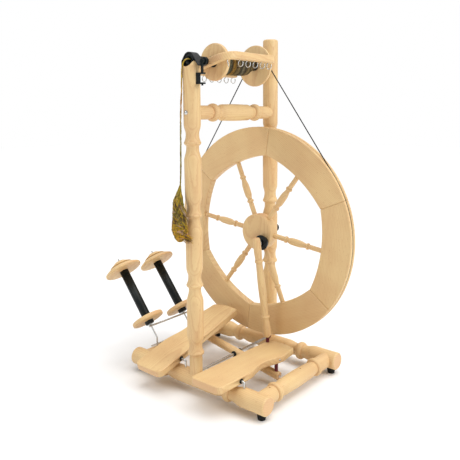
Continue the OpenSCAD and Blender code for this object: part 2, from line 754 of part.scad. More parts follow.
module orifice_tube() placed() color(black) on_flyer() difference() {
    translate([0, drum_front_y, 0]) along_y() turned([
        [mouth_r + 0.5, 0], [drum_r - 1.5, 0], [drum_r, 1.5], [drum_r, neck_y - drum_front_y],
        [9, neck_y - drum_front_y + 2], [9, flyer_front_y - drum_front_y]
    ]);
    translate([0, drum_front_y - 1, 0]) along_y()
        cylinder(h = yarn_hole_y + orifice_r - drum_front_y, r = orifice_r);
    translate([0, drum_front_y, 0]) along_y() cylinder(h = mouth_depth, r1 = mouth_r, r2 = orifice_r);
    translate([0, yarn_hole_y, -20]) cylinder(h = 40, r = orifice_r);
    translate([0, yarn_hole_y + orifice_r + 2, 0]) along_y() cylinder(h = 20, r = flyer_shaft_r);
}

// Liner in the front post's open cradle
module orifice_bearing() placed() color(black) translate([0, 0, flyer_z]) difference() {
    intersection() {
        translate([0, -13, 0]) along_y() cylinder(h = 26, r = drum_r + 1.3);
        translate([-30, -30, -30]) cube([60, 60, 28]);
    }
    translate([0, -20, 0]) along_y() cylinder(h = 60, r = drum_r + running_gap);
}

flyer_shaft_back_y = frame_d - post_r + 14;

module flyer_shaft() placed() color(steel) {
    translate([0, yarn_hole_y + orifice_r + 2, flyer_z]) along_y()
        cylinder(h = flyer_shaft_back_y - yarn_hole_y - orifice_r - 2, r = flyer_shaft_r);
}

module flyer_bearing() difference() {
    union() {
        cylinder(h = 19, r = flyer_shaft_r + 2.5);
        cylinder(h = 2, r = flyer_shaft_r + 4.5);
    }
    translate([0, 0, -1]) cylinder(h = 18, r = flyer_shaft_r + running_gap);
}

module rear_post_bearings() placed() color(black) {
    translate([0, frame_d - post_barrel_r, wheel_z]) along_y() axle_bearing();
    translate([0, frame_d + post_barrel_r, wheel_z]) rotate([90, 0, 0]) axle_bearing();
    translate([0, frame_d - post_r - 2, flyer_z]) along_y() flyer_bearing();
}

// Cup hooks under both arms: a short shank and an open ring across the arm
hook_ring_r = 6.3;
hook_wire_r = 1;
hook_shank = 1.5;
hook_start = 105;
hook_sweep = 275;
hook_pitch = 24.5;
near_hook_y = 86;
far_hook_y = 66;
hook_x = (arm_inner_x + arm_outer_x) / 2;

module cup_hook(x, y, turn = 0) translate([x, y, -yoke_t / 2 - arm_drop]) rotate([0, 0, turn]) {
    translate([hook_ring_r * cos(hook_start), 0, -hook_shank - 1])
        cylinder(h = hook_shank + 1, r = hook_wire_r, $fn = 16);
    translate([0, 0, -hook_shank - hook_ring_r]) rotate([90, 0, 0]) rotate([0, 0, hook_start])
        rotate_extrude(angle = hook_sweep) translate([hook_ring_r, 0]) circle(r = hook_wire_r, $fn = 16);
}

module flyer_hooks() placed() color(steel) on_flyer() {
    for (k = [0 : 4]) cup_hook(hook_x, near_hook_y + k * hook_pitch);
    cup_hook(48, 54, -50);
    for (k = [0 : 5]) cup_hook(-hook_x, far_hook_y + k * hook_pitch);
}

// ---- Brake ----

strap_t = 2;
strap_w = 19;
strap_front_y = -8;
strap_mid_r = drum_r + 0.4 + strap_t / 2;
rod_x = 29.8;
rod_r = 2.7;
knob_x = 31;
knob_z = 704;
knob_bolt_r = 1.6;
eye_r = 4;
eye_half_l = 3.4;

// Middle line of the strap, as [x, z]: a tail beside the post, an arch over the drum, a run down to the rod
strap_line = concat(
    [[-19.2, 673], [-19.2, 706]],
    [for (a = [140 : -10 : 40]) [strap_mid_r * cos(a), flyer_z + strap_mid_r * sin(a)]],
    [[15, 712], [19.5, 705], [22.6, 700], [27.4, 695]]
);

// The same line moved to one side by d
function beside(line, d) = [for (i = [0 : len(line) - 1])
    let (t = unit(line[min(i + 1, len(line) - 1)] - line[max(i - 1, 0)])) line[i] + d * [-t[1], t[0]]];

function reversed(list) = [for (i = [len(list) - 1 : -1 : 0]) list[i]];

module brake_strap() placed() color(black) difference() {
    translate([0, strap_front_y + strap_w, 0]) rotate([90, 0, 0]) linear_extrude(strap_w)
        polygon(concat(beside(strap_line, strap_t / 2), reversed(beside(strap_line, -strap_t / 2))));
    translate([rod_x, 0, 680]) cylinder(h = 30, r = rod_r);
}

bracket_w = 10;
bracket_t = 3;
bracket_low_z = 659;
bracket_high_z = 678.5;

// C-shaped bracket on the post, with a rod that ends in an eye for the brake's knob
module brake_bracket() placed() color(black) difference() {
    union() {
        translate([post_r - 2, -bracket_w / 2, bracket_low_z])
            cube([bracket_t + 2, bracket_w, bracket_high_z - bracket_low_z]);
        for (z = [bracket_low_z, bracket_high_z])
            translate([post_r - 2, -bracket_w / 2, z]) cube([34.2 - post_r + 2, bracket_w, bracket_t]);
        translate([rod_x, 0, bracket_low_z - 3]) cylinder(h = 4, r = 2);
        translate([rod_x, 0, bracket_high_z + 1]) cylinder(h = knob_z - bracket_high_z - 1, r = rod_r);
        translate([knob_x, -eye_half_l, knob_z]) along_y() cylinder(h = 2 * eye_half_l, r = eye_r);
    }
    translate([0, 0, bracket_low_z - 5]) cylinder(h = 40, r = post_r);
    translate([knob_x, -10, knob_z]) along_y() cylinder(h = 20, r = knob_bolt_r + running_gap);
}

module brake_screw() placed() color(black) translate([knob_x, 0, knob_z]) along_y() {
    translate([0, 0, -eye_half_l - 1.4]) cylinder(h = 1.2, r = 2.6);
    translate([0, 0, -eye_half_l - 0.4]) cylinder(h = 2 * eye_half_l + 1, r = knob_bolt_r);
    translate([0, 0, eye_half_l + 0.2]) turned([[6.4, 0], [7.5, 1], [7.5, 2.8], [6, 4.2], [3, 4.6]]);
}

// ---- Drive band ----

band_pulley_y = bobbin_y + pulley_groove_y;

// Points along the band's two arcs, which straight runs join. The band leans back from the pulley to the rim.
function band_arc(z, r, y, from, sweep, n) = [
    for (i = [0 : n]) let (a = from + sweep * i / n) [r * cos(a), y, z + r * sin(a)]
];

band_route = concat(
    band_arc(flyer_z, band_pulley_r, band_pulley_y, band_lean, 180 - 2 * band_lean, 9),
    band_arc(wheel_z, band_wheel_r, rim_y, 180 - band_lean, 180 + 2 * band_lean, 62)
);

module drive_band() placed() color(black) swept(band_route, band_r, 8, true);

// ---- Yarn and fibre ----

function unit(v) = v / norm(v);

// Direction of the route at point i. A closed route runs on from its last point to its first.
function heading(path, i, closed) = let (n = len(path)) closed
    ? unit(path[(i + 1) % n] - path[(i + n - 1) % n])
    : unit(path[min(i + 1, n - 1)] - path[max(i - 1, 0)]);

function ring(path, i, r, sides, closed) = let (
    t = heading(path, i, closed),
    u = unit(cross(t, closed ? [0, 1, 0] : [1, 0, 0])),
    v = cross(u, t)
) [for (k = [0 : sides - 1]) path[i] + r * (cos(360 * k / sides) * u + sin(360 * k / sides) * v)];

// Four-sided walls between each ring of a tube and the next
function tube_walls(rings, sides, steps) = [
    for (i = [0 : steps - 1], k = [0 : sides - 1]) let (n = (k + 1) % sides, next = (i + 1) % rings)
        [i * sides + k, i * sides + n, next * sides + n, next * sides + k]
];

// Lids on the first and the last ring of a tube
function tube_lids(rings, sides) = [
    [for (k = [sides - 1 : -1 : 0]) k],
    [for (k = [0 : sides - 1]) (rings - 1) * sides + k]
];

// A round tube swept along a list of points
module swept(path, r, sides, closed = false) {
    rings = len(path);
    points = [for (i = [0 : rings - 1]) each ring(path, i, r, sides, closed)];
    walls = tube_walls(rings, sides, closed ? rings : rings - 1);
    polyhedron(points, closed ? walls : concat(tube_lids(rings, sides), walls));
}

module yarn() placed() color([0.6, 0.5, 0.15]) swept(yarn_route, yarn_r, 8);

// Rings of the bundle: centre x, centre y, height, half width, half thickness. The first ones line a blind
// bore for the yarn, from its end upward, and the others go down the outside.
yarn_bore_r = yarn_r + 0.25;
yarn_end = len(yarn_route) - 1;
bundle_rings = concat(
    [concat(yarn_route[yarn_end] - [0, 0, 1], [yarn_bore_r, yarn_bore_r])],
    [for (i = [1 : yarn_in_bundle - 1]) concat(yarn_route[yarn_end - i], [yarn_bore_r, yarn_bore_r])],
    [[-14.3, -23.5, 455, 2.2, 2.2], [-14.4, -25.5, 444, 4, 4], [-15, -27, 435, 6.5, 6], [-15, -29, 425, 10, 8]],
    [[-13.5, -30, 414, 12.5, 9], [-10.5, -31, 404, 15, 10], [-9, -31, 390, 17, 10], [-9, -31, 376, 19, 10.5]],
    [[-8.5, -31, 362, 21, 10.5], [-4, -31, 352, 21, 9], [1, -30, 345, 19, 7], [-7, -30, 338, 9, 5]]
);
bundle_sides = 12;

module fibre_bundle() placed() color([0.45, 0.38, 0.12]) {
    rings = len(bundle_rings);
    points = [for (b = bundle_rings, k = [0 : bundle_sides - 1]) let (a = 360 * k / bundle_sides)
        [b[0] + b[3] * cos(a), b[1] + b[4] * sin(a), b[2]]];
    polyhedron(points, concat(tube_lids(rings, bundle_sides), tube_walls(rings, bundle_sides, rings - 1)));
}

// ---- Nodes ----

front_beam();
rear_beam();
side_rail_left();
side_rail_right();
front_post();
rear_post();
upper_rail();
feet();
frame_screws();
rim_segment_1();
rim_segment_2();
rim_segment_3();
rim_segment_4();
rim_segment_5();
rim_segment_6();
spokes();
hub();
wheel_axle();
axle_knob();
crank_housing();
crank_pin();
treadle_left();
treadle_right();
treadle_axle_left();
treadle_axle_right();
treadle_bushings_left();
treadle_bushings_right();
footman();
footman_connector();
rocker();
rocker_rod();
rocker_bushing();
rocker_connectors();
rocker_pins();
rack_spindle_front();
rack_spindle_rear();
rack_base_wire();
rack_crossbar();
flyer_yoke();
orifice_tube();
orifice_bearing();
flyer_shaft();
rear_post_bearings();
flyer_hooks();
bobbin_tube();
bobbin_flange();
bobbin_pulley();
wound_yarn();
spare_front_tube();
spare_front_flange();
spare_front_pulley();
spare_rear_tube();
spare_rear_flange();
spare_rear_pulley();
brake_strap();
brake_screw();
brake_bracket();
drive_band();
yarn();
fibre_bundle();
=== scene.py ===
import json
import math
import random

import bmesh
import bpy
from mathutils import Matrix, Vector, noise


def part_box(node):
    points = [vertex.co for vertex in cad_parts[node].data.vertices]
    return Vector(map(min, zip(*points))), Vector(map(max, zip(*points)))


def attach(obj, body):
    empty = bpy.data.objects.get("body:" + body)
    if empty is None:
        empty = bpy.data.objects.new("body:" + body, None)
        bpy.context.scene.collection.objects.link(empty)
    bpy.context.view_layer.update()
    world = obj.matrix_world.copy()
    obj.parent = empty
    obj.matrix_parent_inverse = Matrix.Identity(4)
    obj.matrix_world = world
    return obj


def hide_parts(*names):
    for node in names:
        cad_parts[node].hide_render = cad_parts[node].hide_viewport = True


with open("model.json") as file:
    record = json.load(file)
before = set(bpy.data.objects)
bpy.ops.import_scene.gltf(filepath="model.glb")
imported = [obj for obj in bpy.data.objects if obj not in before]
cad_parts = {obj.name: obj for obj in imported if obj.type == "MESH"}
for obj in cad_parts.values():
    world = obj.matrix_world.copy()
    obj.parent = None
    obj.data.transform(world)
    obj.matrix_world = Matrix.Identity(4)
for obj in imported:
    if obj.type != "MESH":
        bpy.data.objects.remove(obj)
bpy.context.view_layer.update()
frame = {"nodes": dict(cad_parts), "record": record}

MM = 0.001
SHARP = math.radians(35)
random.seed(7)

# The machine's own layout is in millimetres like the CAD source, with x = 0, y = 0 on the front
# post's axis and z = 0 on the floor.
post_low, post_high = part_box("front_post")
POST_X = (post_low.x + post_high.x) / 2
POST_Y = (post_low.y + post_high.y) / 2


def at(x, y, z):
    """A point of the layout, in the row frame and in metres."""
    return Vector((POST_X + x * MM, POST_Y + y * MM, z * MM))


FRAME_D = 268
BEAM_Z = 31
RAIL_X = 168
UPPER_RAIL_Z = 603
FRONT_POST_TOP = 706
REAR_POST_TOP = 772
SCREW_HOLE_Y = 21.6
WHEEL_Z = 320
RIM_Y = 228
HUB_Y = 212
AXLE_KNOB_Y = 288.4
CRANK_AT = (23.6, 197, 299.9)
TREADLE_Z = 63.5
FOOTMAN_FOOT = Vector((51, 190, 81))
FOOTMAN_TOP = Vector((33, 170, 318))
ROCKER_AT = (0, 138, 44)
FLYER_Z = 708
BOBBIN_FOOT = (0, 58.5, FLYER_Z)
# The spare bobbins' wires stand on the left rail, at these places along it
RACKS = {"front": 40, "rear": 152}

# ---- Materials ----

class Graph:
    """A node material and short ways to add to it."""

    def __init__(self, name):
        self.material = bpy.data.materials.new(name)
        self.material.use_nodes = True
        self.tree = self.material.node_tree
        self.shader = self.tree.nodes["Principled BSDF"]
        self.coords = self.add("ShaderNodeTexCoord")

    def add(self, kind, inputs=None, **settings):
        node = self.tree.nodes.new(kind)
        for key, value in settings.items():
            setattr(node, key, value)
        for key, value in (inputs or {}).items():
            self.feed(node.inputs[key], value)
        return node

    def feed(self, socket, value):
        if isinstance(value, bpy.types.NodeSocket):
            self.tree.links.new(value, socket)
        else:
            socket.default_value = value

    def set(self, **inputs):
        for key, value in inputs.items():
            self.feed(self.shader.inputs[key.replace("_", " ")], value)

    def math(self, operation, a, b=0.0):
        return self.add("ShaderNodeMath", {0: a, 1: b}, operation=operation).outputs[0]

    def mapped(self, vector, **inputs):
        return self.add("ShaderNodeMapping", {"Vector": vector, **inputs}).outputs[0]

    def scaled(self, vector, scale):
        return self.mapped(vector, Scale=scale)

    def noise(self, vector, scale=1.0, detail=2.0, roughness=0.5, distortion=0.0):
        inputs = {"Vector": vector, "Scale": scale, "Detail": detail, "Roughness": roughness,
                  "Distortion": distortion}
        return self.add("ShaderNodeTexNoise", inputs).outputs["Fac"]

    def ramp(self, value, *stops):
        node = self.add("ShaderNodeValToRGB", {"Fac": value})
        elements = node.color_ramp.elements
        while len(elements) < len(stops):
            elements.new(0.5)
        for element, (place, colour) in zip(elements, stops):
            shade = colour if isinstance(colour, tuple) else (colour,) * 3
            element.position = place
            element.color = (*shade, 1)
        return node.outputs["Color"]

    def mix(self, factor, a, b, blend="MIX"):
        node = self.add("ShaderNodeMix", data_type="RGBA", blend_type=blend)
        for key, value in {"Factor": factor, "A": a, "B": b}.items():
            self.feed(node.inputs[key], (*value, 1) if isinstance(value, tuple) else value)
        return node.outputs["Result"]

    def range(self, value, low, high, start=0.0, end=1.0):
        inputs = {"Value": value, "From Min": start, "From Max": end, "To Min": low, "To Max": high}
        return self.add("ShaderNodeMapRange", inputs).outputs["Result"]

    def add_vectors(self, a, b):
        return self.add("ShaderNodeVectorMath", {0: a, 1: b}, operation="ADD").outputs[0]

    def bump(self, height, distance, strength):
        inputs = {"Height": height, "Distance": distance, "Strength": strength}
        return self.add("ShaderNodeBump", inputs).outputs["Normal"]


def beech(name, turn=0.0, pith=(0.045, -0.05)):
    """Oiled beech with its grain along the piece's own Z, or along its X where turn is a quarter.

    The growth rings lie round a pith outside the piece, which leans, so that they show as nested
    arches.
    """
    pale, dark, fleck = (0.78, 0.570, 0.282), (0.58, 0.305, 0.142), (0.45, 0.20, 0.085)
    g = Graph(name)
    offset = g.math("MULTIPLY", g.add("ShaderNodeObjectInfo").outputs["Random"], 3.7)
    shift = g.add("ShaderNodeCombineXYZ", {"X": offset, "Y": offset, "Z": offset}).outputs[0]
    turned = g.mapped(g.coords.outputs["Object"], Rotation=(0, turn, 0))
    place = g.add_vectors(turned, shift)
    facing = g.mapped(g.coords.outputs["Normal"], Rotation=(0, turn, 0))
    end = g.add("ShaderNodeSeparateXYZ", {0: facing}).outputs["Z"]
    end = g.range(g.math("ABSOLUTE", end), 0.0, 1.0, 0.8, 0.97)

    long_waves = g.scaled(place, (12, 12, 4.5))
    waves = g.add("ShaderNodeTexNoise", {"Vector": long_waves, "Scale": 1.0, "Detail": 1.0})
    wobble = g.add("ShaderNodeVectorMath", {0: waves.outputs["Color"], "Scale": 0.022},
                   operation="SCALE").outputs[0]
    lean = g.mapped(g.add_vectors(turned, wobble), Location=(*pith, 0), Rotation=(0.03, 0.03, 0))
    rings = g.add("ShaderNodeTexWave",
                  {"Vector": lean, "Scale": 95.0, "Distortion": 1.4, "Detail": 1.0},
                  wave_type="RINGS", rings_direction="Z", wave_profile="SAW").outputs["Fac"]
    late = g.ramp(rings, (0.0, 0.0), (0.45, 0.12), (0.86, 1.0), (0.98, 0.0))

    streaks = g.noise(g.scaled(place, (210, 210, 5)), detail=2)
    fibres = g.noise(g.scaled(place, (1500, 1500, 38)), detail=2)
    flecks = g.range(g.noise(g.scaled(place, (620, 620, 150)), detail=1), 0.0, 1.0, 0.66, 0.74)
    clouds = g.range(g.noise(place, 16, detail=1), 0.0, 1.0, 0.3, 0.7)

    tone = g.math("ADD", g.math("MULTIPLY", late, 0.34), g.math("MULTIPLY", streaks, 0.34))
    tone = g.math("ADD", tone, g.math("MULTIPLY", clouds, 0.30))
    colour = g.mix(g.range(tone, 0.0, 0.85, 0.18, 1.05), pale, dark)
    colour = g.mix(g.math("MULTIPLY", fibres, 0.12), colour, (0.60, 0.33, 0.15), "MULTIPLY")
    colour = g.mix(g.math("MULTIPLY", flecks, 0.40), colour, fleck)
    sawn = g.mix(g.math("MULTIPLY", rings, 0.55), (0.74, 0.44, 0.23), (0.54, 0.28, 0.13))
    colour = g.mix(g.math("MULTIPLY", end, 0.6), colour, sawn)
    relief = g.math("ADD", fibres, g.math("MULTIPLY", flecks, -0.6))
    g.set(Base_Color=colour, Roughness=g.range(fibres, 0.40, 0.60), Specular_IOR_Level=0.40,
          Coat_Weight=0.10, Coat_Roughness=0.32, Normal=g.bump(relief, 0.25 * MM, 0.35))
    return g.material


def steel(name):
    g = Graph(name)
    brushed = g.noise(g.coords.outputs["Object"], 900, detail=3)
    stains = g.noise(g.coords.outputs["Object"], 60, detail=2)
    colour = g.mix(stains, (0.70, 0.71, 0.70), (0.52, 0.525, 0.52))
    g.set(Base_Color=colour, Metallic=1.0, Roughness=g.range(brushed, 0.20, 0.34),
          Normal=g.bump(brushed, 0.04 * MM, 0.5))
    return g.material


def moulded(name, colour, worn, rough, grain=2600, depth=0.06):
    """Moulded plastic or rubber: a fine grain, depth mm deep, and faint handling marks."""
    g = Graph(name)
    fine = g.noise(g.coords.outputs["Object"], grain, detail=2)
    marks = g.noise(g.coords.outputs["Object"], 70, detail=4, roughness=0.62)
    patch = g.range(marks, 0.0, 1.0, 0.5, 0.8)
    g.set(Base_Color=g.mix(patch, colour, worn),
          Roughness=g.range(marks, rough - 0.05, rough + 0.07),
          Specular_IOR_Level=0.22, Normal=g.bump(fine, depth * MM, 0.5))
    return g.material


def leather(name):
    g = Graph(name)
    cells = g.add("ShaderNodeTexVoronoi",
                  {"Vector": g.coords.outputs["Object"], "Scale": 1300.0}).outputs["Distance"]
    creases = g.noise(g.coords.outputs["Object"], 220, detail=4)
    colour = g.mix(creases, (0.010, 0.011, 0.012), (0.028, 0.029, 0.029))
    g.set(Base_Color=colour, Roughness=g.range(creases, 0.44, 0.62), Specular_IOR_Level=0.35,
          Normal=g.bump(g.math("ADD", cells, creases), 0.2 * MM, 0.6))
    return g.material


def wool(name, colours, low, high, lean=0.0, streak=(0.56, 0.36, 0.24),
         dark=(0.05, 0.03, 0.018), wander=0.04):
    """Dyed wool with pale and dark locks and fibres in it.

    Its colour changes from z = low to z = high, and sideways by lean. Wander is how unevenly.
    """
    clump = 170
    g = Graph(name)
    place = g.coords.outputs["Object"]
    xyz = g.add("ShaderNodeSeparateXYZ", {0: place})
    drift = g.math("MULTIPLY", g.math("SUBTRACT", g.noise(place, 60, detail=3), 0.5), wander)
    height = g.math("ADD", xyz.outputs["Z"], g.math("MULTIPLY", xyz.outputs["X"], lean))
    height = g.math("ADD", height, drift)
    steps = len(colours) - 1
    stops = [(i / steps, shade) for i, shade in enumerate(colours)]
    colour = g.ramp(g.range(height, 0.0, 1.0, low, high), *stops)
    fine = g.noise(g.scaled(place, (900, 900, 140)), detail=3)
    pale_locks = g.noise(g.scaled(place, (clump, clump, clump / 2.4)), detail=2)
    dark_locks = g.noise(g.scaled(place, (clump * 1.6, clump * 1.6, clump / 1.4)), detail=2,
                         distortion=0.6)
    colour = g.mix(g.range(pale_locks, 0.0, 0.6, 0.56, 0.74), colour, streak)
    colour = g.mix(g.range(dark_locks, 0.0, 0.8, 0.53, 0.70), colour, dark)
    colour = g.mix(g.range(fine, 0.0, 0.5, 0.5, 0.8), colour, dark)
    g.set(Base_Color=colour, Roughness=0.95, Specular_IOR_Level=0.08, Sheen_Weight=0.10,
          Sheen_Roughness=0.5, Sheen_Tint=(*streak, 1), Normal=g.bump(fine, 0.6 * MM, 0.7))
    return g.material


# Colours from the low end up: the yarn that hangs, the wound yarn and the bundle's core
YARN_COLOURS = [
    (0.30, 0.24, 0.035), (0.34, 0.27, 0.035), (0.30, 0.26, 0.05), (0.38, 0.27, 0.035),
    (0.56, 0.25, 0.035), (0.62, 0.40, 0.05), (0.56, 0.40, 0.06)]
WOUND_COLOURS = [
    (0.15, 0.17, 0.12), (0.05, 0.05, 0.035), (0.17, 0.18, 0.12), (0.05, 0.045, 0.03),
    (0.36, 0.20, 0.04), (0.10, 0.07, 0.03), (0.22, 0.16, 0.07), (0.045, 0.04, 0.03),
    (0.20, 0.17, 0.10), (0.05, 0.04, 0.03), (0.24, 0.17, 0.07), (0.04, 0.035, 0.025),
    (0.20, 0.14, 0.05), (0.06, 0.045, 0.03), (0.16, 0.11, 0.05)]
CORE_COLOURS = [
    (0.33, 0.22, 0.035), (0.22, 0.16, 0.03), (0.34, 0.22, 0.025), (0.44, 0.25, 0.025),
    (0.28, 0.15, 0.03), (0.12, 0.06, 0.03), (0.14, 0.10, 0.04), (0.20, 0.15, 0.035),
    (0.28, 0.22, 0.04), (0.32, 0.25, 0.03)]
# The bundle's locks: their colour low down, high up and in the streaks
LOCK_COLOURS = {
    "gold_wool": ((0.64, 0.35, 0.03), (0.50, 0.34, 0.035), (0.72, 0.48, 0.12)),
    "olive_wool": ((0.24, 0.19, 0.035), (0.30, 0.25, 0.04), (0.34, 0.34, 0.16)),
    "plum_wool": ((0.13, 0.06, 0.045), (0.10, 0.065, 0.04), (0.22, 0.12, 0.09)),
    "rose_wool": ((0.60, 0.36, 0.24), (0.56, 0.38, 0.26), (0.68, 0.50, 0.38)),
}
MATERIALS = {
    "beech": beech("beech"),
    "beech_board": beech("beech_board", math.pi / 2, (0.12, 0.01)),
    "steel": steel("steel"),
    "black_plastic": moulded("black_plastic", (0.006, 0.009, 0.009), (0.014, 0.018, 0.018), 0.38),
    "rubber": moulded("rubber", (0.010, 0.010, 0.010), (0.02, 0.02, 0.02), 0.72, 900, 0.2),
    "flexible_link": moulded("flexible_link", (0.13, 0.018, 0.028), (0.2, 0.04, 0.05), 0.33),
    "leather": leather("leather"),
    "drive_band": moulded("drive_band", (0.010, 0.011, 0.009), (0.022, 0.022, 0.018), 0.5, 1800),
    "yarn": wool("yarn", YARN_COLOURS, 0.45, 0.71, dark=(0.13, 0.10, 0.02)),
    "wound_yarn": wool("wound_yarn", WOUND_COLOURS, 0.018, 0.132, 0.12, (0.26, 0.20, 0.10),
                       wander=0.009),
    "fibre": wool("fibre", CORE_COLOURS, -0.062, 0.052, 0.45, (0.52, 0.36, 0.17)),
}
for tone, (low, high, streak) in LOCK_COLOURS.items():
    MATERIALS[tone] = wool(tone, [low, high], -0.06, 0.05, 0.3, streak)


# ---- Shapes ----

def add_piece(name, mesh, matrix, body, material, nodes=(), edge=0.0):
    """Links a mesh as a piece that rides on a body, with soft edges edge mm wide."""
    piece = bpy.data.objects.new(name, mesh)
    bpy.context.scene.collection.objects.link(piece)
    piece.matrix_world = matrix
    mesh.materials.clear()
    mesh.materials.append(MATERIALS[material])
    mesh.shade_smooth()
    if edge:
        bevel = piece.modifiers.new("edge", "BEVEL")
        bevel.width = edge * MM
        bevel.segments = 3
        bevel.limit_method = "ANGLE"
        bevel.angle_limit = SHARP
        bevel.harden_normals = True
    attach(piece, body)
    if nodes:
        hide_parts(*nodes)
    return piece


def frame_at(origin, along, across=None):
    """A matrix whose Z runs along a direction and whose X is as near as it can be to another."""
    z = Vector(along).normalized()
    x = Vector(across) if across else Vector((0, 0, 1)) if abs(z.z) < 0.9 else Vector((1, 0, 0))
    y = z.cross(x).normalized()
    x = y.cross(z)
    return Matrix.Translation(origin) @ Matrix((x, y, z)).transposed().to_4x4()


def skin(rings, closed=False):
    """A mesh through rings of points. A closed one runs from its last ring back to its first."""
    bm = bmesh.new()
    rows = [[bm.verts.new(p) for p in ring] for ring in rings]
    count = len(rows[0])
    pairs = list(zip(rows, rows[1:])) + ([(rows[-1], rows[0])] if closed else [])
    for a, b in pairs:
        for k in range(count):
            bm.faces.new((a[k], a[(k + 1) % count], b[(k + 1) % count], b[k]))
    if not closed:
        bm.faces.new(rows[0][::-1])
        bm.faces.new(rows[-1])
    bmesh.ops.recalc_face_normals(bm, faces=bm.faces)
    mesh = bpy.data.meshes.new("skin")
    bm.to_mesh(mesh)
    bm.free()
    return mesh


def circle(radius, z, sides):
    turn = 2 * math.pi / sides
    radius *= MM
    return [Vector((radius * math.cos(k * turn), radius * math.sin(k * turn), z * MM))
            for k in range(sides)]


def turned_mesh(outline, sides=80, closed=False):
    return skin([circle(r, z, sides) for r, z in outline], closed)


def turned(name, outline, origin, along, body, nodes=(), material="beech", slot=None, sides=80,
           closed=False, edge=0.5, cutters=()):
    """A piece turned from (radius, height) points about an axis."""
    mesh = turned_mesh(outline, sides, closed)
    matrix = frame_at(at(*origin), along)
    if cutters:
        mesh = cut(mesh, matrix, cutters)
    return add_piece(name, mesh, matrix, body, material, nodes, edge)


def cut(mesh, matrix, cutters):
    """The mesh, placed by matrix, less the cutters. A cutter is a mesh and its own matrix."""
    whole = bpy.data.objects.new("whole", mesh)
    whole.matrix_world = matrix
    helpers = []
    for cutter, place in cutters:
        helper = bpy.data.objects.new("cutter", cutter)
        helper.matrix_world = place
        helpers.append(helper)
    for piece in [whole, *helpers]:
        bpy.context.scene.collection.objects.link(piece)
    for helper in helpers:
        step = whole.modifiers.new("cut", "BOOLEAN")
        step.object = helper
        step.operation = "DIFFERENCE"
        step.solver = "EXACT"
    bpy.context.view_layer.update()
    graph = bpy.context.evaluated_depsgraph_get()
    result = bpy.data.meshes.new_from_object(whole.evaluated_get(graph))
    for piece in [whole, *helpers]:
        bpy.data.objects.remove(piece)
    return result


def ease(a, b, steps=12):
    """A smooth step between two points of an outline, without the last one."""
    return [(a[0] + (b[0] - a[0]) * (1 - math.cos(math.pi * i / steps)) / 2,
             a[1] + (b[1] - a[1]) * i / steps) for i in range(steps)]


def bead(radius, crest, z, half_width, steps=14):
    return [(radius + (crest - radius) * math.sin(math.pi * i / steps),
             z - half_width * math.cos(math.pi * i / steps)) for i in range(steps + 1)]


def both_ways(half):
    return [(r, -z) for r, z in half[:0:-1]] + half


def arc(cx, cy, radius, start, end, steps=10):
    angles = [math.radians(start + (end - start) * i / steps) for i in range(steps + 1)]
    return [(cx + radius * math.cos(a), cy + radius * math.sin(a)) for a in angles]


def inset(outline, distance):
    """The outline moved to its left by a distance."""
    count = len(outline)
    moved = []
    for i, (x, y) in enumerate(outline):
        (ax, ay), (bx, by) = outline[i - 1], outline[(i + 1) % count]
        before = Vector((x - ax, y - ay)).normalized()
        after = Vector((bx - x, by - y)).normalized()
        side = Vector((-before.y - after.y, before.x + after.x))
        side = side.normalized() / max(0.5, math.cos(before.angle(after) / 2))
        moved.append((x + side.x * distance, y + side.y * distance))
    return moved


def slab_mesh(outline, levels):
    """A flat piece in its own X-Z plane. Levels are (inset, y) from one face to the other."""
    return skin([[Vector((x * MM, y * MM, z * MM)) for x, z in inset(outline, d)]
                 for d, y in levels])


def rounded(thickness, radius, back_radius=None, steps=5):
    """Levels of a slab whose edges are round."""
    back_radius = radius if back_radius is None else back_radius
    half = thickness / 2
    quarter = [math.pi / 2 * i / steps for i in range(steps + 1)]
    front = [(radius * (1 - math.sin(a)), -half + radius * (1 - math.cos(a))) for a in quarter]
    back = [(back_radius * (1 - math.cos(a)), half - back_radius * (1 - math.sin(a)))
            for a in quarter]
    return front + back


# ---- Frame ----

BEAM = both_ways(
    ease((18, 0), (18, 58), 2) + ease((18, 58), (14.5, 82)) + [(14.5, 86)] + bead(15, 20.8, 95, 7.5)
    + [(15.5, 104), (15.5, 108)] + ease((15.5, 109), (20, 132))
    + [(20, 134), (20, 192.5), (17.5, 195)])
RAIL = both_ways(
    ease((18, 0), (17.2, 46)) + ease((17.2, 46), (14.5, 66)) + [(14.5, 68)]
    + bead(15, 20.4, 75, 6.5) + [(16.4, 83), (17, 88), (17, 126)])
UPPER = both_ways(
    ease((18.3, 0), (17.7, 42)) + ease((17.7, 42), (12.6, 55)) + [(12.6, 60)]
    + bead(12.6, 19.2, 71.5, 8.5) + [(13.8, 84), (14.6, 88), (14.6, 130)])


def collar(z, first=False):
    """A post's outline from the swelling below a collar to the swelling above it."""
    start = [(14, 20), (14, z - 12)] if first else ease((18, z - 38), (13.2, z - 12))
    start.append((13.2, z - 8))
    ring = ease((13.2, z - 8), (17.9, z - 1.5), 6)[1:] + arc(15.4, z - 0.2, 2.55, -30, 55, 6)
    cove = [(16.2, z + 4), (15.3, z + 6), (14.6, z + 8.5), (14.1, z + 11.5), (13.8, z + 15)]
    return start + ring + cove + ease((13.8, z + 17), (17.6, z + 37)) + [(17.6, z + 37)]


COLLARS = (92, 242, 392, 542)


def post_outline(top):
    collars = [p for z in COLLARS for p in collar(z, z == COLLARS[0])]
    return collars + [(17.6, top - 5), (17.35, top - 3.6), (16.7, top - 2), (15.3, top - 0.7),
                      (13, top)]


CRADLE_R = 14.3
CRADLE = ([(-CRADLE_R, 740), (-CRADLE_R, FLYER_Z)] + arc(0, FLYER_Z, CRADLE_R, 180, 360, 32)[1:]
          + [(CRADLE_R, 740)])

cradle_cutter = skin([[Vector((x * MM, y * MM, z * MM)) for x, z in CRADLE] for y in (-40, 40)])
screw_cutter = turned_mesh([(4.7, 0), (4.7, 5)], 40)
rack_cutter = turned_mesh([(2.0, 0), (2.0, 30)], 32)

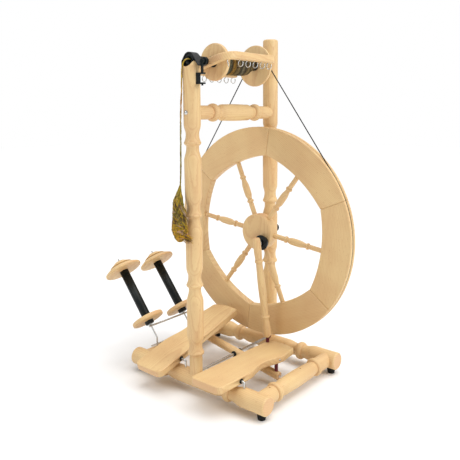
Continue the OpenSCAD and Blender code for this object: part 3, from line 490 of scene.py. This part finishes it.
turned("front_beam_wood", BEAM, (0, 0, BEAM_Z), (1, 0, 0), "root", ["front_beam"])
turned("rear_beam_wood", BEAM, (0, FRAME_D, BEAM_Z), (1, 0, 0), "root", ["rear_beam"])
for side, name in ((-1, "side_rail_left"), (1, "side_rail_right")):
    holes = [(rack_cutter.copy(), frame_at(at(side * RAIL_X, y, 36), (0, 0, 1)))
             for y in RACKS.values()]
    turned(name + "_wood", RAIL, (side * RAIL_X, FRAME_D / 2, BEAM_Z), (0, 1, 0), "root", [name],
           cutters=holes)
turned("upper_rail_wood", UPPER, (0, FRAME_D / 2, UPPER_RAIL_Z), (0, 1, 0), "root", ["upper_rail"])
front_hole = frame_at(at(0, -SCREW_HOLE_Y, UPPER_RAIL_Z), (0, 1, 0))
rear_hole = frame_at(at(0, FRAME_D + SCREW_HOLE_Y, UPPER_RAIL_Z), (0, -1, 0))
turned("front_post_wood", post_outline(FRONT_POST_TOP), (0, 0, 0), (0, 0, 1), "root",
       ["front_post"], cutters=[(cradle_cutter, Matrix.Translation(at(0, 0, 0))),
                                (screw_cutter.copy(), front_hole)])
turned("rear_post_wood", post_outline(REAR_POST_TOP), (0, FRAME_D, 0), (0, 0, 1), "root",
       ["rear_post"], cutters=[(screw_cutter.copy(), rear_hole)])

# ---- Wheel ----

SEGMENTS = 6
FIRST_ANGLE = 52.5
RIM_R = 250
# The inner edge of a segment is an arc about a point on the far side of the axle
INNER_ARC_R = 296
INNER_ARC_BACK = 120
RIM_ROUND = 2.6
# How far a seam is chamfered, and half the gap that is left in it
SEAM = 0.9
SEAM_GAP = 0.1


def segment_angle(k):
    """The angle of segment k's middle, and of its spoke."""
    return math.radians(FIRST_ANGLE - 360 / SEGMENTS * k)


def rim_section():
    """Half of the rim's section as (edge, radial offset, y), where edge is outer or inner."""
    quarter = [math.pi / 2 * i / 5 for i in range(6)]
    outer = [("outer", -RIM_ROUND * (1 - math.cos(a)), 10 - RIM_ROUND * (1 - math.sin(a)))
             for a in quarter]
    inner = [("inner", RIM_ROUND * (1 - math.sin(a)), 10 - RIM_ROUND * (1 - math.cos(a)))
             for a in quarter]
    groove = [("outer", -4, 1), ("outer", -3.6, 1.6), ("outer", -0.4, 3.3), ("outer", 0, 4)]
    return groove + outer + inner


def rim_segment_mesh():
    half = rim_section()
    section = half + [(edge, d, -y) for edge, d, y in half[::-1]]
    steps = 48
    reach = math.radians(180 / SEGMENTS)
    rings = []
    turns = [(-1, SEAM)] + [(-1 + 2 * i / steps, 0) for i in range(steps + 1)] + [(1, SEAM)]
    for share, shrink in turns:
        angle = reach * share
        half_chord = INNER_ARC_R ** 2 - (INNER_ARC_BACK * math.sin(angle)) ** 2
        inner_r = -INNER_ARC_BACK * math.cos(angle) + math.sqrt(half_chord)
        back = SEAM_GAP if shrink else SEAM + SEAM_GAP
        ring = []
        for edge, d, y in section:
            radius = RIM_R + d if edge == "outer" else inner_r + d
            if shrink:
                radius += -shrink if edge == "outer" else shrink
                y -= math.copysign(shrink if abs(y) > 5 else 0, y)
            turn = angle
            if abs(share) > 0.97:
                turn -= math.copysign(back / radius, share)
            radius *= MM
            ring.append(Vector((radius * math.cos(turn), y * MM, radius * math.sin(turn))))
        rings.append(ring)
    return skin(rings)


segment = rim_segment_mesh()
for k in range(SEGMENTS):
    place = Matrix.Translation(at(0, RIM_Y, WHEEL_Z)) @ Matrix.Rotation(-segment_angle(k), 4, "Y")
    add_piece(f"rim_{k + 1}", segment.copy(), place, "wheel", "beech", [f"rim_segment_{k + 1}"])

SPOKE = ([(5.6, 39.5), (6, 68)] + bead(5.2, 8.1, 77, 3.4) + ease((5.3, 81), (8.2, 94))
         + [(8.4, 104)] + ease((8.2, 114), (5.3, 133)) + bead(5.2, 7.8, 137, 3.2)
         + [(5.4, 143), (5.6, 150), (5.4, 178)])
for k in range(SEGMENTS):
    a = segment_angle(k)
    turned(f"spoke_{k + 1}", SPOKE, (0, RIM_Y, WHEEL_Z), (math.cos(a), 0, math.sin(a)), "wheel",
           ["spokes"], sides=40, edge=0.3)
HUB = [(1, 0), (38, 0), (41.2, 0.5), (43, 1.9), (43.5, 4), (43.5, 24), (43, 26.1), (41.2, 27.5),
       (38, 28), (1, 28)]
AXLE_KNOB = [(8, 0), (9.5, 1.5), (9.5, 4.6), (7.5, 7), (4, 8.2)]
CRANK_CUP = [(5, 3), (9, 2.5), (10, 0), (16, 0), (18, 2), (18, 5), (13, 15)]
turned("hub_wood", HUB, (0, HUB_Y, WHEEL_Z), (0, 1, 0), "wheel", ["hub"], "beech_board", "beech",
       96, edge=0)
turned("axle_knob_cap", AXLE_KNOB, (0, AXLE_KNOB_Y, WHEEL_Z), (0, 1, 0), "wheel", ["axle_knob"],
       "black_plastic", edge=0.6)
turned("crank_housing_cup", CRANK_CUP, CRANK_AT, (0, 1, 0), "wheel", ["crank_housing"],
       "black_plastic", edge=0.5)

# ---- Treadles, footman and rocker ----

TREADLE = (arc(58, -55, 12, 180, 270) + arc(113, -54, 13, 270, 360) + ease((126, 25), (114, 88), 16)
           + ease((114, 88), (125, 150), 16) + ease((125, 150), (120, 194), 8)
           + arc(111, 193, 9, 0, 80) + [(82, 208)] + arc(53, 198, 7, 95, 180))
# The pin's end shows in a treadle's side: how far out it is, and how far along the board
PIN = [(0.4, 0), (1.6, 0.1), (2.3, 0.5), (2.6, 1.2), (2.6, 4)]
PIN_X, PIN_ALONG = 125.2, 138
for side, tilt, name in ((1, -1.5, "treadle_right"), (-1, 15, "treadle_left")):
    t = math.radians(tilt)
    along = Vector((0, math.cos(t), math.sin(t)))
    board = slab_mesh([(side * x, s) for x, s in TREADLE][::side], rounded(16, 2.2, 3.4))
    bore = turned_mesh([(4.95, -140), (4.95, 140)], 48)
    place = frame_at(at(0, 0, TREADLE_Z), along, (1, 0, 0))
    board = cut(board, place, [(bore, frame_at(at(0, 0, TREADLE_Z), (1, 0, 0)))])
    add_piece(name + "_board", board, place, name, "beech", [name])
    turned(name + "_pin", PIN, Vector((side * PIN_X, 0, TREADLE_Z)) + PIN_ALONG * along,
           (-side, 0, 0), name, material="steel", sides=32, edge=0)

footman_l = (FOOTMAN_TOP - FOOTMAN_FOOT).length
FOOTMAN = ([(9.2, 0), (10, 2)] + ease((10, 8), (8, 44)) + bead(7.8, 10.1, 48, 3.2)
           + ease((7.8, 52), (9, 120)) + ease((9, 130), (7.8, 176)) + bead(7.8, 9.8, 183, 3.2)
           + [(8.2, 188), (9.2, 204), (8.6, footman_l - 4), (6.8, footman_l - 0.8), (4, footman_l)])
groove = turned_mesh([(4.5, -15), (4.5, 15)], 40)
turned("footman_wood", FOOTMAN, FOOTMAN_FOOT, FOOTMAN_TOP - FOOTMAN_FOOT, "footman", ["footman"],
       sides=56, cutters=[(groove, frame_at(at(*FOOTMAN_FOOT), (1, 0, 0)))])

ROCKER = [(8.5, -124), (9.5, -123), (9.5, 123), (8.5, 124)]
rocker_tilt = math.radians(10.5)
turned("rocker_wood", ROCKER, ROCKER_AT, (math.cos(rocker_tilt), 0, -math.sin(rocker_tilt)),
       "rocker", ["rocker"], sides=56)

# ---- Bobbins ----

FLANGE = [(36.5, 8), (38.3, 8.8), (39, 10.5), (39, 15.5), (38.3, 17.2), (36.5, 18), (11, 18),
          (11, 8)]
PULLEY = [(44, 148), (45.5, 148.6), (46, 150), (46, 152), (45.6, 153.3), (44.5, 154), (34, 160.2),
          (22.5, 160.6), (22.5, 163.4), (28.8, 164), (28.4, 164.8), (16.5, 171.6), (13, 174),
          (9, 174), (9, 148)]
TUBE = [(10.3, 0), (11, 0.8), (11, 148), (9, 148), (9, 174), (4.1, 174), (4.1, 0.6), (4.9, 0)]
# A spare bobbin's wire bends at this height, and the bobbin stands this far up it
RACK_BEND_Z, RACK_STAND = 69, 37
rack_lean = math.radians(39)
RACK_DIRECTION = (-math.sin(rack_lean), 0, math.cos(rack_lean))
bobbins = [("bobbin", "bobbin", BOBBIN_FOOT, (0, 1, 0))]
for name, y in RACKS.items():
    foot = Vector((-RAIL_X, y, RACK_BEND_Z)) + RACK_STAND * Vector(RACK_DIRECTION)
    bobbins.append((f"spare_bobbin_{name}", f"spare_{name}", tuple(foot), RACK_DIRECTION))
for body, stem, foot, along in bobbins:
    turned(f"{stem}_core", TUBE, foot, along, body, [f"{stem}_tube"], "black_plastic", sides=64,
           closed=True, edge=0)
    for part, outline, node in (("disc", FLANGE, "flange"), ("whorl", PULLEY, "pulley")):
        turned(f"{stem}_{part}", outline, foot, along, body, [f"{stem}_{node}"], "beech_board",
               "beech", 96, True, 0.4)

# ---- Flyer ----

ARM_DROP = 3
flyer_turn = math.radians(14)
ACROSS = (math.cos(flyer_turn), 0, math.sin(flyer_turn))
UPWARD = (-math.sin(flyer_turn), 0, math.cos(flyer_turn))
half_yoke = ([(22, 42)] + arc(27, 76, 34, 270, 360, 16) + arc(55, 198, 6, 0, 180, 16)
             + arc(35, 71, 14, 0, -90, 12) + [(18, 57)])
YOKE = half_yoke + [(-x, y) for x, y in half_yoke[::-1]]
yoke_frame = frame_at(at(0, 0, FLYER_Z), (0, 1, 0), ACROSS)
yoke_levels = [(d, y + ARM_DROP) for d, y in rounded(16, 3)]
add_piece("yoke_wood", slab_mesh(YOKE, yoke_levels), yoke_frame, "flyer", "beech", ["flyer_yoke"])

MOUTH = [(8.2, 0), (11.2, 0), (12.5, 0.5), (13, 1.8), (13, 22), (12.4, 23.2), (9, 25), (9, 49),
         (4.5, 49), (4.5, 4.5), (5, 3.2), (7.3, 0.7)]
side_hole = turned_mesh([(4.5, -20), (4.5, 20)], 40)
turned("orifice_drum", MOUTH, (0, -7, FLYER_Z), (0, 1, 0), "flyer", ["orifice_tube"],
       "black_plastic", closed=True, edge=0, sides=96,
       cutters=[(side_hole, frame_at(at(0, 30, FLYER_Z), UPWARD))])

# ---- Wool ----

def smooth_path(points, spacing):
    """Points close together on a smooth curve through the given ones."""
    path = []
    count = len(points)
    for i in range(count - 1):
        a, d = points[max(i - 1, 0)], points[min(i + 2, count - 1)]
        b, c = points[i], points[i + 1]
        steps = max(2, round((c - b).length / spacing))
        for k in range(steps):
            t = k / steps
            path.append(0.5 * (2 * b + (c - a) * t + (2 * a - 5 * b + 4 * c - d) * t ** 2
                               + (3 * b - a - 3 * c + d) * t ** 3))
    return path + [points[-1]]


def tube_rings(path, radius, sides, shape=None):
    """Rings of a tube along a path.

    Shape gives a factor for the radius from the ring's number and an angle.
    """
    rings = []
    side = Vector((1, 0, 0))
    count = len(path)
    for i, p in enumerate(path):
        ahead = (path[min(i + 1, count - 1)] - path[max(i - 1, 0)]).normalized()
        side = (side - ahead * side.dot(ahead)).normalized()
        other = ahead.cross(side)
        r = radius(i / (count - 1)) if callable(radius) else radius
        ring = []
        for k in range(sides):
            a = 2 * math.pi * k / sides
            f = shape(i, a) if shape else 1
            ring.append(p + (side * math.cos(a) + other * math.sin(a)) * r * f)
        rings.append(ring)
    return rings


YARN_R = 1.3 * MM
YARN_ROUTE = [
    (0, -3, 709), (-0.5, -8, 709.5), (-2.5, -11, 709), (-5, -13.5, 706.5), (-6.8, -16.5, 701),
    (-7.6, -18.5, 693), (-7.8, -20, 683), (-7.6, -20.5, 672), (-7.5, -21, 658), (-8, -21, 644),
    (-9.3, -21, 630), (-11, -21, 610), (-12, -21, 588), (-12.8, -21, 560), (-13.2, -21, 530),
    (-13.7, -21, 505), (-14, -21.5, 482), (-14.2, -22.5, 466), (-14.3, -23.5, 455),
    (-14.4, -26, 440), (-14, -29, 424), (-12.5, -30.5, 408), (-10.5, -31, 392), (-9.5, -31, 380)]
yarn_path = smooth_path([at(*p) for p in YARN_ROUTE], 0.9 * MM)


def plies(i, a):
    """Two plies that turn round each other, a little thick and thin."""
    wander = noise.noise(Vector((i * 0.06, 0, 3)))
    return 0.86 + 0.14 * math.cos(2 * a - i * 0.42) + 0.07 * wander


strand = skin(tube_rings(yarn_path, YARN_R, 14, plies))
yarn = add_piece("yarn_strand", strand, Matrix.Identity(4), "root", "yarn", ["yarn"])

# The bundle's centre, half width and half thickness, from its top to its foot
BUNDLE_RINGS = [
    (-14.3, -23.5, 455, 1.9, 1.9), (-14.4, -25.5, 444, 4, 4), (-15, -27, 435, 6.5, 6),
    (-15, -29, 425, 10, 8), (-13.5, -30, 414, 12.5, 9), (-10.5, -31, 404, 15, 10),
    (-9, -31, 390, 17, 10), (-9, -31, 376, 19, 10.5), (-8.5, -31, 362, 20.5, 10.5),
    (-8, -31, 352, 17.5, 9), (-10, -30, 344, 11.5, 7), (-11.5, -30, 338, 5, 4)]
BUNDLE_ORIGIN = at(-9, -30, 400)


def bundle_at(t):
    """Centre, half width and half thickness of the bundle, t from 0 at its top to 1 at its foot."""
    place = t * (len(BUNDLE_RINGS) - 1)
    i = min(int(place), len(BUNDLE_RINGS) - 2)
    share = place - i
    a, b = BUNDLE_RINGS[i], BUNDLE_RINGS[i + 1]
    x, y, z, w, h = (p + (q - p) * share for p, q in zip(a, b))
    return at(x, y, z) - BUNDLE_ORIGIN, w * MM, h * MM


def bundle_point(t, angle, out=1.0):
    centre, w, h = bundle_at(t)
    return centre + Vector((w * math.cos(angle), h * math.sin(angle), 0)) * out


CORE_STEPS, CORE_SIDES = 90, 56
core_rings = []
for i in range(CORE_STEPS + 1):
    t = i / CORE_STEPS
    ring = []
    for k in range(CORE_SIDES):
        a = 2 * math.pi * k / CORE_SIDES
        p = bundle_point(t, a, 0.93)
        centre, w, h = bundle_at(t)
        lump = 0.10 * noise.noise(p * 120) + 0.06 * noise.noise(Vector((a * 5, t * 7, 2)))
        ring.append(centre + (p - centre) * (1 + lump))
    core_rings.append(ring)
bundle = add_piece("wool_core", skin(core_rings), Matrix.Translation(BUNDLE_ORIGIN), "root",
                   "fibre", ["fibre_bundle"])


def add_strand(target, path, thick, sides=5):
    """Adds a strand, thickest in its middle, to a bmesh."""
    def radius(share):
        return thick * (0.2 + 0.8 * math.sin(math.pi * min(max(share, 0.03), 0.97)))

    rings = tube_rings(path, radius, sides)
    rows = [[target.verts.new(p) for p in ring] for ring in rings]
    for a, b in zip(rows, rows[1:]):
        for k in range(sides):
            target.faces.new((a[k], a[(k + 1) % sides], b[(k + 1) % sides], b[k]))
    target.faces.new(rows[0][::-1])
    target.faces.new(rows[-1])


def finished(target, name):
    mesh = bpy.data.meshes.new(name)
    target.to_mesh(mesh)
    target.free()
    return mesh


def lock(start, reach, angle, drift, rise, steps=14):
    """A path over the bundle's side that stands off in its middle.

    It runs from a start and an angle, along the bundle by reach and round it by drift.
    """
    wave = random.uniform(0, 50)
    path = []
    for i in range(steps + 1):
        share = i / steps
        t = min(start + reach * share, 1.0)
        ripple = 0.06 * noise.noise(Vector((wave, i * 0.35, 0)))
        out = 0.96 + rise * math.sin(math.pi * share) + ripple
        sway = 0.3 * noise.noise(Vector((wave, 9, i * 0.3)))
        path.append(bundle_point(t, angle + drift * share + sway, out))
    return path


# How much of each tone the bundle has near its top, at its waist and near its foot
TONES = {"gold_wool": (4, 1.5, 6), "olive_wool": (5, 3, 2), "plum_wool": (1.6, 5, 1),
         "rose_wool": (0.7, 1.1, 1.1)}
locks = {tone: bmesh.new() for tone in TONES}


def tone_at(t):
    zone = 0 if t < 0.36 else 1 if t < 0.63 else 2
    return locks[random.choices(list(TONES), [share[zone] for share in TONES.values()])[0]]


for n in range(520):
    drift = random.uniform(0.1, 1.5) if n % 3 else random.uniform(-1.1, 0.1)
    start = random.uniform(0.0, 0.74)
    path = lock(start, random.uniform(0.10, 0.26), random.uniform(2.4, 6.1), drift,
                random.uniform(0.04, 0.15))
    add_strand(tone_at(start + 0.1), path, random.uniform(0.3, 0.85) * MM)


def scatter(count, starts, reaches, angles, drifts, rises, thicknesses, sides=5):
    """Adds locks, each with its numbers drawn from these ranges."""
    for n in range(count):
        start = random.uniform(*starts)
        path = lock(start, random.uniform(*reaches), random.uniform(*angles),
                    random.uniform(*drifts), random.uniform(*rises))
        add_strand(tone_at(start), path, random.uniform(*thicknesses) * MM, sides)


# Locks that lie across the lower half, and then loose hairs
scatter(200, (0.50, 0.95), (-0.05, 0.10), (2.6, 5.2), (0.4, 1.5), (0.05, 0.18), (0.4, 1.0))
scatter(120, (0.1, 0.95), (-0.1, 0.12), (2.4, 6.1), (-0.8, 0.8), (0.15, 0.36), (0.10, 0.2), 4)

# mathutils' own noise_vector gives other values each time Blender starts, and noise does not
AXIS_SHIFTS = (Vector((9.3, -1.5, -7.9)), Vector((0.4, 0.3, 0.6)), Vector((6.3, 0.2, -2.7)))


def noise_vector(place):
    return Vector([noise.noise(place + shift) for shift in AXIS_SHIFTS])


# A wisp that trails to the right in front of the post
for n in range(90):
    begin = Vector((random.uniform(-10, 4), random.uniform(-38, -32), random.uniform(346, 362)))
    end = Vector((random.uniform(10, 27), random.uniform(-33, -26), random.uniform(339, 352)))
    sag = random.uniform(-6, 3)
    path = []
    for i in range(11):
        share = i / 10
        p = begin.lerp(end, share) + Vector((0, 0, sag * math.sin(math.pi * share)))
        wave = noise_vector(Vector((n * 1.7, share * 2.5, 4))) * 1.6
        path.append(at(*(p + wave)) - BUNDLE_ORIGIN)
    add_strand(tone_at(0.9), path, random.uniform(0.25, 0.7) * MM)
wisps = [add_piece(tone, finished(strands, tone), Matrix.Translation(BUNDLE_ORIGIN), "root", tone,
                   ["fibre_bundle"]) for tone, strands in locks.items()]

hairs = bmesh.new()
for n in range(420):
    first = random.randrange(0, len(yarn_path) - 30)
    away = Vector((random.uniform(-1, 1), random.uniform(-1, 1), 0)).normalized()
    away = away * random.uniform(1.0, 1.9) * MM
    step = random.randint(1, 3)
    path = [yarn_path[first + i * step] + away * (0.5 + 0.5 * math.sin(math.pi * i / 8))
            for i in range(9)]
    add_strand(hairs, path, random.uniform(0.12, 0.3) * MM, 4)
halo = add_piece("yarn_hairs", finished(hairs, "hairs"), Matrix.Identity(4), "root", "yarn",
                 ["yarn"])

# Yarn wound on the bobbin: a turned body, and the last layer's turns over it
WOUND = ([(12, 18), (22, 18.6), (23.4, 22), (23.2, 60), (22.8, 95)]
         + ease((22.2, 105), (12, 135)) + [(11.2, 136)])
turned("wound_body", WOUND, BOBBIN_FOOT, (0, 1, 0), "bobbin", ["wound_yarn"], "wound_yarn",
       sides=96, edge=0)


def wound_radius(z):
    for (ra, za), (rb, zb) in zip(WOUND[1:], WOUND[2:]):
        if za <= z <= zb:
            return ra + (rb - ra) * (z - za) / (zb - za)
    return 11.4


helix = []
TURNS, PER_TURN = 25, 36
TURN_R = 1.9
for i in range(TURNS * PER_TURN + 1):
    share = i / (TURNS * PER_TURN)
    a = 2 * math.pi * i / PER_TURN
    z = 22 + 108 * share + 1.2 * math.sin(share * 37) + 2.6 * math.cos(a)
    lift = 0.4 * noise.noise(Vector((i * 0.05, 1, 1)))
    radius = (wound_radius(min(max(z, 18.7), 135.9)) + 0.1 + lift) * MM
    helix.append(Vector((radius * math.cos(a), radius * math.sin(a), z * MM)))
winding = skin(tube_rings(helix, TURN_R * MM, 8, plies))
add_piece("wound_turns", winding, frame_at(at(*BOBBIN_FOOT), (0, 1, 0)), "bobbin", "wound_yarn",
          ["wound_yarn"])

# ---- CAD nodes that stay ----

slots = {row["node"]: row["material_slot"] for row in frame["record"]["subparts"]}
for node, piece in frame["nodes"].items():
    for used in piece.material_slots:
        used.material = MATERIALS[slots[node]]

# ---- Floor, light and camera ----

floor_graph = Graph("floor")
floor_tone = floor_graph.mix(floor_graph.noise(floor_graph.coords.outputs["Object"], 3),
                             (0.93, 0.93, 0.93), (0.90, 0.90, 0.90))
floor_graph.set(Base_Color=floor_tone, Roughness=0.9)
CORNERS = ((-9, -9), (9, -9), (9, 9), (-9, 9))
floor_mesh = skin([[Vector((x, y, z)) for x, y in CORNERS] for z in (-0.02, 0)])
floor_mesh.materials.append(floor_graph.material)
floor = bpy.data.objects.new("floor", floor_mesh)
bpy.context.scene.collection.objects.link(floor)

# The camera sees a white world, and the machine is lit by a dimmer one
AMBIENT = 0.47
KEY_W, FILL_W, SKY = 13, 27, 2.15
LIT_POINT = (0, 0, 0.35)
world = bpy.data.worlds.new("studio")
bpy.context.scene.world = world
world.use_nodes = True
nodes, links = world.node_tree.nodes, world.node_tree.links
seen = nodes["Background"]
lighting = nodes.new("ShaderNodeBackground")
for background in (seen, lighting):
    background.inputs["Color"].default_value = (1, 1, 1, 1)
lighting.inputs["Strength"].default_value = AMBIENT
either = nodes.new("ShaderNodeMixShader")
ray = nodes.new("ShaderNodeLightPath")
links.new(ray.outputs["Is Camera Ray"], either.inputs["Fac"])
links.new(lighting.outputs[0], either.inputs[1])
links.new(seen.outputs[0], either.inputs[2])
links.new(either.outputs[0], nodes["World Output"].inputs["Surface"])


def area_light(name, place, size, power):
    data = bpy.data.lights.new(name, "AREA")
    data.shape = "DISK"
    data.size = size
    data.energy = power
    light = bpy.data.objects.new(name, data)
    light.location = place
    aim = Vector(LIT_POINT) - Vector(place)
    light.rotation_euler = aim.to_track_quat("-Z", "Y").to_euler()
    bpy.context.scene.collection.objects.link(light)


area_light("key", (-0.9, -1.9, 2.0), 0.8, KEY_W)
area_light("fill", (2.5, 0.5, 1.7), 1.2, FILL_W)
sky = bpy.data.objects.new("sky", bpy.data.lights.new("sky", "SUN"))
sky.data.energy = SKY
sky.data.angle = math.radians(60)
sky.rotation_euler = (math.radians(-10), math.radians(8), 0)
bpy.context.scene.collection.objects.link(sky)

bpy.context.scene.view_settings.view_transform = "Standard"

CAMERA_AT = (0.8552, -0.9578, 0.5972)
YAW, PITCH, ROLL = 0.696, -0.138, -0.006
forward = Vector((-math.sin(YAW) * math.cos(PITCH), math.cos(YAW) * math.cos(PITCH),
                  math.sin(PITCH)))
right = forward.cross(Vector((0, 0, 1))).normalized()
up = right.cross(forward)
right, up = (math.cos(ROLL) * right + math.sin(ROLL) * up,
             math.cos(ROLL) * up - math.sin(ROLL) * right)
camera_data = bpy.data.cameras.new("camera")
camera_data.lens = 44.6
camera_data.sensor_width = 36
camera_data.shift_x = -0.0124
camera_data.shift_y = -0.0776
camera = bpy.data.objects.new("camera", camera_data)
turn = Matrix((right, up, -forward)).transposed().to_4x4()
camera.matrix_world = Matrix.Translation(CAMERA_AT) @ turn
bpy.context.scene.collection.objects.link(camera)
bpy.context.scene.camera = camera
